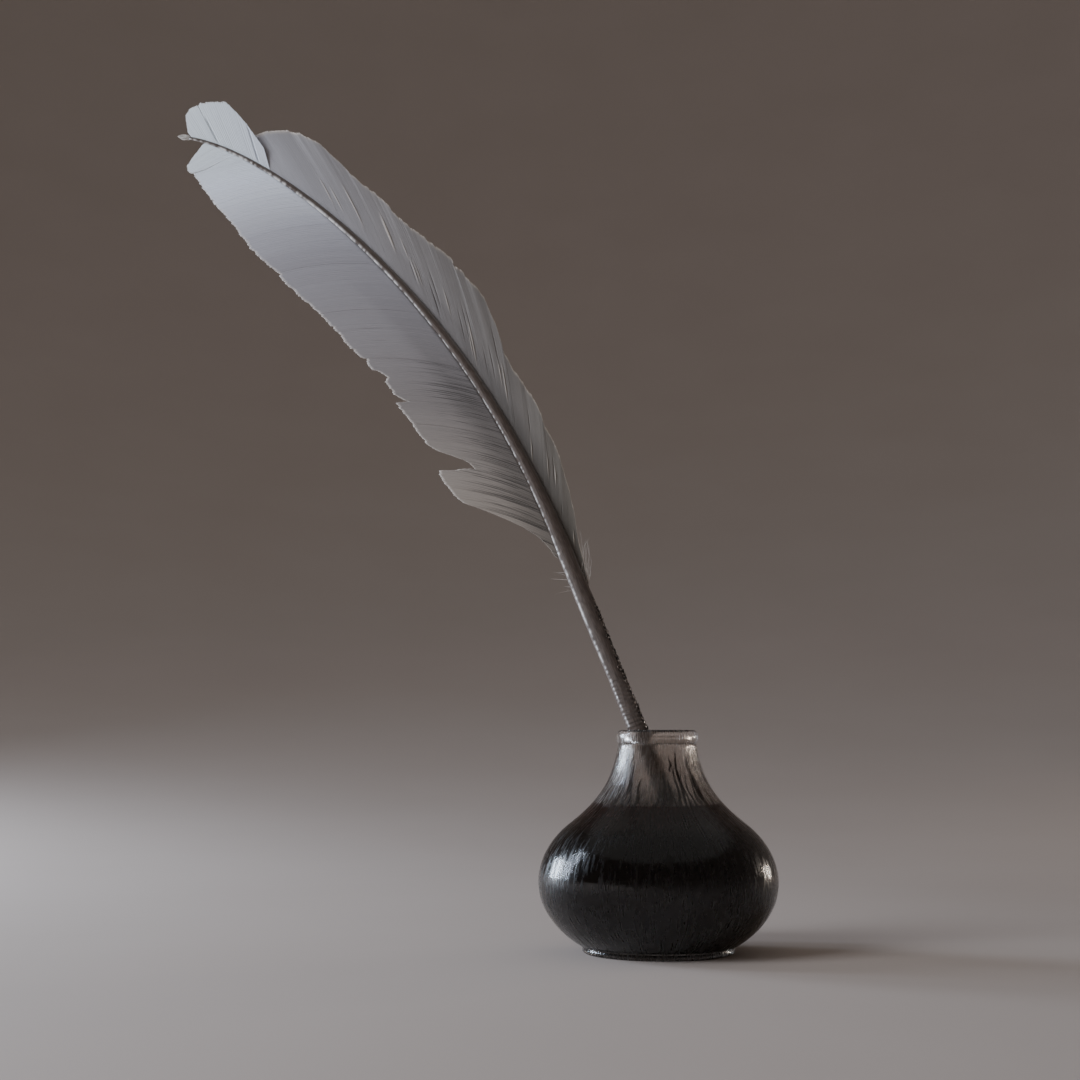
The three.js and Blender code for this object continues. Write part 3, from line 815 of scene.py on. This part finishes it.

# barb_points explains side to curl; grain seeds the waves; rows are the points along a barb; rim is
# the width of the painted highlight along the barb tips. A lock is shorter by nick at its edges and
# swings by spread degrees; combed is how deep its grooves are about combed_at, wave and tile how high
# it waves and tilts. A crease has its place on the shaft, the shares of the barb's length where it
# starts and ends, and a depth.
WIDE = {
    "side": 1, "angle": 40, "bend": 550, "rise": 0.04, "curl": 6, "grain": 110, "rows": 30,
    "rim": 0.00035, "nick": 0.0003, "spread": 0.1, "combed": 0.000004, "combed_at": 0.006,
    "combed_over": 0.006, "wave": 0.00012, "tile": 0.00001, "creases": [],
}
NARROW = {
    **WIDE, "side": -1, "angle": 24, "bend": -250, "rise": 0.05, "curl": 20, "grain": 120,
    "rows": 34, "rim": 0.0013, "combed": 0.00001, "combed_over": 0.010, "wave": 0.00022,
}


def barb_points(web, s, d, swing):
    """Points on barbs, by distance s along the shaft and d along the barb. A barb is an arc in the
    feather's plane: it leaves the shaft at the web's angle plus swing, in degrees, and turns by
    bend degrees a metre. It lifts out of the plane by rise times its distance from the shaft plus
    curl times that squared."""
    lean = lean_at(s)
    tangent = np.stack([-np.sin(lean), 0 * lean, np.cos(lean)], -1)
    outward = -web["side"] * np.stack([np.cos(lean), 0 * lean, np.sin(lean)], -1)
    start = np.radians(web["angle"] + swing)
    bend = math.radians(web["bend"])
    end = start + bend * d
    forward = (np.sin(end) - np.sin(start)) / bend
    out = (np.cos(start) - np.cos(end)) / bend
    root = shaft_at(s) + outward * (0.75 * shaft_radius(s))[..., None]
    points = root + tangent * forward[..., None] + outward * out[..., None]
    points[..., 1] += web["rise"] * out + web["curl"] * out**2
    return points


def lay_lock(web, start, end, tips, chance):
    """One lock of barbs as a closed thin sheet. Its grid runs from barb to barb and out along each
    barb, and no two barbs are the same width. Between barbs the sheet dips into a groove; the whole
    lock waves, folds at its creases, tilts like a roof tile and is a little shorter at its two
    edges. With it come its numbers at each point, for the finish, among them painted shade for its
    grooves and sunk creases and a painted highlight for its edge and raised creases."""
    barbs = max(2, round((end - start) / BARB_PITCH))
    column = np.arange(barbs * SAMPLES + 1)
    edges = np.r_[0, np.cumsum(chance.uniform(0.45, 1.55, barbs))]
    s = np.interp(column / SAMPLES, np.arange(barbs + 1), edges / edges[-1])
    s = (start + (end - start) * s)[None, :]
    phase = (column % SAMPLES / SAMPLES)[None, :]
    barb = column // SAMPLES
    share = (np.linspace(0, 1, web["rows"]) ** 0.9)[:, None]
    ridge = np.sin(math.pi * phase) ** 0.7
    length = np.interp(s, *tips) + UNEVEN_ENDS * chance.normal(size=barbs + 1)[barb][None, :]
    length = length - NOTCH * (1 - ridge)
    near_edges = np.exp((start - s) / EDGE_REACH) + np.exp((s - end) / EDGE_REACH)
    length = length - web["nick"] * near_edges * chance.uniform(0.5, 1.2)
    d = np.maximum(length, SHORTEST_BARB) * share
    grain = web["grain"]
    lock_swing = web["spread"] * chance.uniform(-1, 1)
    swing = lock_swing + 1.1 * wander(s, 0.0060, grain) + 0.5 * wander(s, 0.0015, grain + 1)
    points = barb_points(web, s + 0 * d, d, swing + 0 * d)
    near_shaft = np.exp(-(((d - web["combed_at"]) / web["combed_over"]) ** 2))
    broken = 0.5 + 0.5 * wander(d + 9 * s, 0.0035, grain + 4)
    uneven = 1.6 * chance.random(barbs + 1)[barb][None, :] ** 2
    depth = 0.000004 + web["combed"] * near_shaft * broken * uneven
    wave = web["wave"] * (d / 0.02) ** 0.8 * (
        wander(s + 0.02 * d, 0.0110, grain + 2) + 0.45 * wander(s, 0.0041, grain + 3)
    )
    tile = web["tile"] * (2 * (s - start) / (end - start) - 1) * np.clip(d / 0.008, 0, 1)
    crease = np.zeros_like(d)
    for place, low, high, deep in web["creases"]:
        window = np.clip((share - low) / 0.12, 0, 1) * np.clip((high - share) / 0.12, 0, 1)
        crease = crease + deep * np.exp(-(((s - place) / CREASE_WIDTH) ** 2)) * window
    groove = depth * (1 - ridge)
    points[..., 1] += wave + tile + groove + crease
    thick = (EDGE_THICKNESS + ROOT_THICKNESS * (1 - share)) * (0.35 + 0.65 * ridge)
    half = np.stack([0 * thick, thick, 0 * thick], -1)
    shell = close_plate(points - half, points + half)
    fade = np.clip((d[-1] - d) / web["rim"], 0, 1)
    values = {
        "along": s * 10 + 0 * d,
        "out": d * 100,
        # hollow is painted shade in the grooves between barbs and in sunk creases.
        "hollow": np.clip(groove / 0.0001 + crease / 0.0008, 0, 1),
        # rim is a painted highlight along the barb tips and on raised creases, and is weaker where a
        # crease sinks.
        "rim": np.clip(1 - fade - crease / 0.00035, 0, 1),
        "barb": chance.random(barbs + 1)[barb][None, :] + 0 * d,
    }
    return shell, {key: np.tile(value.ravel(), 2) for key, value in values.items()}


def lay_web(name, web, seed, cuts, tips):
    """A web: its locks between the cuts, which are distances along the shaft. The barbs' lengths
    run straight from one tip to the next, each a pair of distance and length. All millimetres."""
    chance = np.random.default_rng(seed)
    tips = np.array(tips).T / 1000
    laid = [
        lay_lock(web, start / 1000, end / 1000, tips, chance)
        for start, end in zip(cuts[:-1], cuts[1:])
    ]
    piece = add_object(name, *join_shells([shell for shell, _ in laid]))
    for key in laid[0][1]:
        set_attribute(piece, key, np.concatenate([values[key] for _, values in laid]))
    face_out(piece)
    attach(piece, "quill")
    return piece


TONES_FROM, TONES_TO = 1.0, 3.2


def feather_material(name, tones, edge_highlight_colour):
    """The web's finish: a colour that fades along the shaft through a few tones, each a distance in
    decimetres and a colour; the fall towards the base is partly the feather's own greyer, warmer base
    and partly painted shade, and the bluish white at the tip is partly painted cool light. It has
    painted shade between the barbs, in sunk creases and, low down, beside the shaft, a painted
    highlight at the rim and on raised creases, and a fine streak along each barb."""
    feather, shader = plain_material(name, (0.5, 0.5, 0.5), 0.6)
    shader.inputs["Sheen Weight"].default_value = 0.15
    shader.inputs["Sheen Roughness"].default_value = 0.4
    shader.inputs["Specular IOR Level"].default_value = 0.3
    along, out, hollow, rim, barb = [
        add_node(feather, "Attribute", attribute_name=name)
        for name in ("along", "out", "hollow", "rim", "barb")
    ]
    climb = add_node(feather, "MapRange", From_Min=TONES_FROM, From_Max=TONES_TO)
    span = TONES_TO - TONES_FROM
    tone = tone_ramp(feather, [((at - TONES_FROM) / span, colour) for at, colour in tones])
    place = add_node(feather, "CombineXYZ")
    streaks = add_node(feather, "TexNoise", Scale=1, Detail=4, Roughness=0.65)
    stretch = add_node(feather, "Mapping", Scale=(420, 3.2, 1))
    mottle = add_node(feather, "MapRange", From_Min=0.3, From_Max=0.7, To_Min=0.95, To_Max=1.03)
    each = add_node(feather, "MapRange", To_Min=0.975, To_Max=1.02)
    both = times(feather)
    # Painted shade beside the shaft, low down: within about 1.7 cm of the shaft and below 2.3 dm along
    # it, the colour is multiplied down towards 0.62.
    beside = add_node(feather, "MapRange", From_Min=0.2, From_Max=1.7, interpolation_type="SMOOTHSTEP")
    low_down = add_node(feather, "MapRange", From_Min=1.5, From_Max=2.3)
    out_of_shaft_shade = add_node(feather, "Math", operation="MAXIMUM")
    painted_shaft_shade = add_node(feather, "MapRange", To_Min=0.62)
    all_three = times(feather)
    shade = add_node(feather, "Mix", data_type="RGBA", blend_type="MULTIPLY", Factor=1)
    # Painted shade: mixes towards near black where hollow marks the grooves between barbs and sunk
    # creases.
    painted_gap_shade = add_node(feather, "Mix", data_type="RGBA", B=(0.04, 0.034, 0.032, 1))
    gap_shade_share = times(feather, 0.8)
    # Painted highlight: mixes the barb tips and raised creases towards the rim colour, where the
    # curled edge and folds catch the light.
    painted_edge_highlight = add_node(feather, "Mix", data_type="RGBA", B=(*edge_highlight_colour, 1))
    edge_highlight_share = times(feather, 0.65)
    wire(
        feather,
        (along, "Fac", climb, "Value"),
        (climb, "Result", tone, "Fac"),
        (along, "Fac", place, "X"),
        (out, "Fac", place, "Y"),
        (place, "Vector", stretch, "Vector"),
        (stretch, "Vector", streaks, "Vector"),
        (streaks, "Fac", mottle, "Value"),
        (barb, "Fac", each, "Value"),
        (mottle, "Result", both, 0),
        (each, "Result", both, 1),
        (tone, "Color", shade, "A"),
        (out, "Fac", beside, "Value"),
        (along, "Fac", low_down, "Value"),
        (beside, "Result", out_of_shaft_shade, 0),
        (low_down, "Result", out_of_shaft_shade, 1),
        (out_of_shaft_shade, "Value", painted_shaft_shade, "Value"),
        (both, "Value", all_three, 0),
        (painted_shaft_shade, "Result", all_three, 1),
        (all_three, "Value", shade, "B"),
        (hollow, "Fac", gap_shade_share, 0),
        (gap_shade_share, "Value", painted_gap_shade, "Factor"),
        (shade, "Result", painted_gap_shade, "A"),
        (rim, "Fac", edge_highlight_share, 0),
        (edge_highlight_share, "Value", painted_edge_highlight, "Factor"),
        (painted_gap_shade, "Result", painted_edge_highlight, "A"),
        (painted_edge_highlight, "Result", shader, "Base Color"),
    )
    roughen(feather, shader, streaks, "Fac", Strength=0.3, Distance=0.00003)
    return feather


# The feather's white. Its tones darken towards the base, partly from the feather's own greyer, warmer
# base and partly as painted shade where the light falls off. The bluish white at the tip is partly
# painted cool light, and its rim colour is a painted highlight.
white_barbs = feather_material(
    "white_barbs",
    [(1.25, (0.36, 0.31, 0.265)), (1.75, (0.25, 0.225, 0.215)), (2.35, (0.34, 0.325, 0.345)),
     (2.5, (0.44, 0.43, 0.465)), (2.65, (0.68, 0.69, 0.745)), (2.78, (0.85, 0.89, 0.98)),
     (2.95, (0.89, 0.95, 1.0))],
    (0.66, 0.60, 0.54),
)
# A darker copy of the same white barbs for the narrow vane: painted shade, since that vane turns away
# from the window. Its tones also darken towards the base, partly as painted shade, and its pale tan
# rim colour is a painted highlight.
shaded_narrow_barbs = feather_material(
    "shaded_narrow_barbs",
    [(1.25, (0.26, 0.235, 0.205)), (1.7, (0.32, 0.295, 0.28)), (2.2, (0.37, 0.345, 0.345)),
     (2.7, (0.48, 0.465, 0.49))],
    (0.85, 0.74, 0.62),
)


def random_creases(count, low, high, seed):
    """Short folds at random places between two along the shaft; a raised one's depth is below
    zero."""
    chance = np.random.default_rng(seed)
    place = chance.uniform(low, high, count)
    start = chance.uniform(0.05, 0.4, count)
    end = start + chance.uniform(0.25, 0.4, count)
    return list(zip(place, start, end, chance.choice([-0.00024, 0.00018], count)))


webs = {
    "wide_web_base": lay_web(
        "vane_wide_foot",
        {**WIDE, "combed": 0.0004, "combed_at": 0.008, "combed_over": 0.012},
        101, [122.5, 127, 134, 147],
        [[122, 2], [124.5, 3.1], [126, 4.4], [127.5, 6.1], [129, 10.4], [130.5, 21.9], [132, 28.2],
         [133.5, 30.3], [136.5, 30.9], [139.5, 31.7], [142.5, 32.4], [143.8, 31.6], [144.5, 26.5],
         [145.5, 23.9], [147, 20.4]],
    ),
    "wide_web_lower": lay_web(
        "vane_wide_low", {**WIDE, "combed": 0.00024, "combed_over": 0.010},
        102, [147, 150.2, 163, 173.2, 190],
        [[147, 18.6], [148.5, 19.3], [150, 20], [151.5, 27.3], [155, 30.8], [161, 30.9],
         [170, 31.6], [172.4, 31.5], [172.9, 27.6], [174.5, 29.4], [176, 30.3], [180.2, 30.7],
         [182, 29.1], [183.2, 29.3], [185, 31.6], [187.5, 32.3], [190, 31.4]],
    ),
    "wide_web_main": lay_web(
        "vane_wide_main",
        {**WIDE, "creases": [[0.1985, 0.55, 0.8, 0.0001], [0.2035, 0.5, 0.8, 0.00012]]},
        103, [190, 212, 233, 252, 271, 291],
        [[190, 32.2], [191, 32.9], [200, 32.6], [210, 32.9], [220, 33.2], [230, 32.6], [240, 31.8],
         [250, 30], [260, 27.5], [270, 24.3], [280, 20.4], [285, 18], [288, 16.4], [291, 14.6]],
    ),
    "wide_web_tip": lay_web(
        "vane_wide_tip", {**WIDE, "angle": 48}, 104, [290.6, 301],
        [[290.6, 9.5], [291.4, 11.8], [292.4, 13.4], [293.5, 13.8], [295, 12.9], [297, 11.1],
         [298, 8.6], [299, 6.1], [300, 3.6], [301, 1.5]],
    ),
    "narrow_web_base": lay_web(
        "vane_narrow_foot", {**NARROW, "creases": random_creases(8, 0.120, 0.160, 5)},
        105, [111, 127, 145, 163],
        [[110, 3], [113, 4.3], [118, 8.2], [123, 17.4], [128, 22.1], [133, 25], [143, 25.7],
         [148, 27.4], [153, 27], [158, 26.6], [163, 29.8]],
    ),
    "narrow_web_middle": lay_web(
        "vane_narrow_middle", {**NARROW, "creases": random_creases(20, 0.166, 0.222, 6)},
        106, [163, 187, 208, 229],
        [[163, 31], [165, 36], [168, 42.3], [173, 43.2], [178, 43], [183, 41.9], [188, 40.3],
         [193, 39], [203, 36.7], [208, 36.2], [213, 37.6], [218, 37.3], [223, 36.6], [229, 38.6]],
    ),
    "narrow_web_upper": lay_web(
        "vane_narrow_upper", {**NARROW, "creases": random_creases(4, 0.230, 0.250, 8)},
        107, [229, 250, 281],
        [[229, 38.6], [233, 42], [238, 41.9], [243, 40.4], [248, 37.2], [253, 34.2], [258, 30.5],
         [263, 26.5], [268, 22.5], [273, 18.2], [278, 13.1], [281, 9.6]],
    ),
    "narrow_web_tip": lay_web(
        "vane_narrow_lobe",
        {**WIDE, "side": -1, "angle": 42, "bend": 50, "rise": -0.13, "curl": 4, "grain": 130,
         "nick": 0.0006, "spread": 0.8,
         "creases": [[0.2826, 0.02, 1, 0.0003], [0.2965, 0.0, 0.7, 0.0003]]},
        108, [278.5, 282.6, 297, 305.6],
        [[277.5, 6.6], [280, 9.3], [282.5, 13.1], [285, 16.4], [287.5, 18.6], [290, 17.9],
         [292.5, 16.8], [295, 15.7], [297.5, 13.9], [300, 12.1], [302.5, 9.1], [305, 3.4], [306, 2]],
    ),
}
for node, piece in webs.items():
    # The narrow vane's three webs take the darker copy, which is painted shade.
    shaded = node in ("narrow_web_base", "narrow_web_middle", "narrow_web_upper")
    piece.data.materials.append(shaded_narrow_barbs if shaded else white_barbs)
    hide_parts(node)


# ---- The stripped edge ----
# The barbs were torn away from the narrow side where the hand holds the pen. Their roots are left
# as a ragged dark strip with pale flecks.

def lay_hair(path, radius, sides=6):
    """A hair: rings about a path of points, square to its direction, with a radius at each."""
    ahead = np.gradient(path, axis=0)
    ahead /= np.linalg.norm(ahead, axis=1)[:, None]
    side = np.cross(ahead, [0.13, 0.97, 0.21])
    side /= np.linalg.norm(side, axis=1)[:, None]
    other = np.cross(ahead, side)
    turn = even_turn(sides)[None, :, None]
    ring = side[:, None] * np.cos(turn) + other[:, None] * np.sin(turn)
    return cap_rings(path[:, None] + ring * np.asarray(radius)[:, None, None])


def torn_stub(s, turn, length, lift, width):
    """A torn barb root: a short taper that starts in the horn and leans up along the shaft, away
    from it by lift at its end."""
    t = np.linspace(0, 1, 6)
    along = s + length * t
    skin = np.maximum(barrel_radius(np.minimum(along, 0.1)), shaft_radius(along))
    path = round_shaft(along, turn, skin - 0.00015 + lift * t**1.3)
    return lay_hair(path, width * (1 - 0.8 * t), sides=5)


chance = np.random.default_rng(41)
stubs = []
for s in np.arange(0.0640, 0.1075, 0.00014):
    turn = chance.normal(-0.5, 0.2)
    ragged = 0.35 + 0.65 * abs(wander(s, 0.0023, 42))
    length = chance.uniform(0.0005, 0.0018) * ragged
    lift = chance.uniform(0.0002, 0.0010) * ragged
    stubs.append(torn_stub(s, turn, length, lift, chance.uniform(0.00014, 0.00034)))
stripped = add_object("stripped_roots", *join_shells(stubs))
face_out(stripped)
torn_barbs, torn_shader = plain_material("torn_barbs", (0.05, 0.04, 0.03), 0.7)
colour_by(torn_barbs, torn_shader, [(0.5, (0.010, 0.007, 0.006)), (0.62, (0.42, 0.35, 0.30))],
          Scale=1100, Detail=3)
stripped.data.materials.append(torn_barbs)
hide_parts("stripped_edge")
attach(stripped, "quill")


# ---- Wisps of down ----
# A few soft barbs without hooks are left at the foot of each vane, each a fine hair that curls.

def wisp(web, s, length, swing, curl, width, seed):
    """A loose barb: a web's arc with a bend of its own, shaken by a random wave that grows along
    it."""
    d = np.linspace(0, length, 26)
    points = barb_points({**web, "bend": curl}, s + 0 * d, d, swing + 0 * d)
    share = d / length
    points[:, 0] += 0.0009 * share * wander(d, 0.004, seed)
    points[:, 1] += 0.0016 * share * wander(d, 0.005, seed + 1) - 0.0006 * share
    return lay_hair(points, width * (1 - 0.85 * share))


def down_piece(name, node, wisps):
    """One tuft's wisps as a piece in place of its node."""
    piece = add_object(name, *join_shells(wisps))
    face_out(piece)
    piece.data.materials.append(soft_down)
    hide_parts(node)
    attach(piece, "quill")


soft_down, down_shader = plain_material("soft_down", (0.45, 0.40, 0.36), 0.8)
down_shader.inputs["Sheen Weight"].default_value = 0.4
colour_by(soft_down, down_shader, [(0, (0.42, 0.37, 0.33)), (1, (0.75, 0.70, 0.64))],
          Scale=300, Detail=2)

chance = np.random.default_rng(51)
down_piece("down_narrow", "down_tuft_narrow", [
    wisp(NARROW, s, chance.uniform(0.005, 0.017), chance.uniform(-8, 10), chance.uniform(-900, 500),
         chance.uniform(0.00007, 0.00014), 60 + k)
    for k, s in enumerate(np.linspace(0.1095, 0.1165, 11))
])
down_piece("down_wide", "down_tuft_wide", [
    wisp(WIDE, s, chance.uniform(0.002, 0.005), chance.uniform(10, 50), chance.uniform(-6000, 6000),
         chance.uniform(0.00005, 0.00010), 80 + k)
    for k, s in enumerate(np.linspace(0.1125, 0.1185, 6))
])


# ---- The frayed tip ----
# The last few millimetres of the shaft have split into a small tuft of white fibres.

chance = np.random.default_rng(91)
fibres = []
t = np.linspace(0, 1, 16)
for k in range(34):
    turn = chance.uniform(0, 2 * math.pi)
    length = chance.uniform(0.0022, 0.0042)
    spread = 0.0007 * np.sin(math.pi * t ** chance.uniform(0.8, 1.3)) * chance.uniform(0.5, 1.1)
    s = RACHIS_END - 0.0006 + length * t
    fibres.append(lay_hair(
        round_shaft(s, turn + 1.4 * t * chance.uniform(-1, 1), 0.0001 + spread),
        0.00016 * (1 - 0.7 * t),
        sides=5,
    ))
tuft = add_object("tip_fray", *join_shells(fibres))
face_out(tuft)
frayed_tip, frayed_shader = plain_material("frayed_tip", (0.75, 0.72, 0.66), 0.7)
colour_by(frayed_tip, frayed_shader, [(0, (0.42, 0.38, 0.33)), (1, (0.92, 0.90, 0.86))],
          Scale=900, Detail=2)
tuft.data.materials.append(frayed_tip)
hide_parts("tip_tuft")
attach(tuft, "quill")


# ---- Size ----
# How much room the shown pieces take up, leaving out the backdrop.

bpy.context.view_layer.update()
low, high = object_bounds()
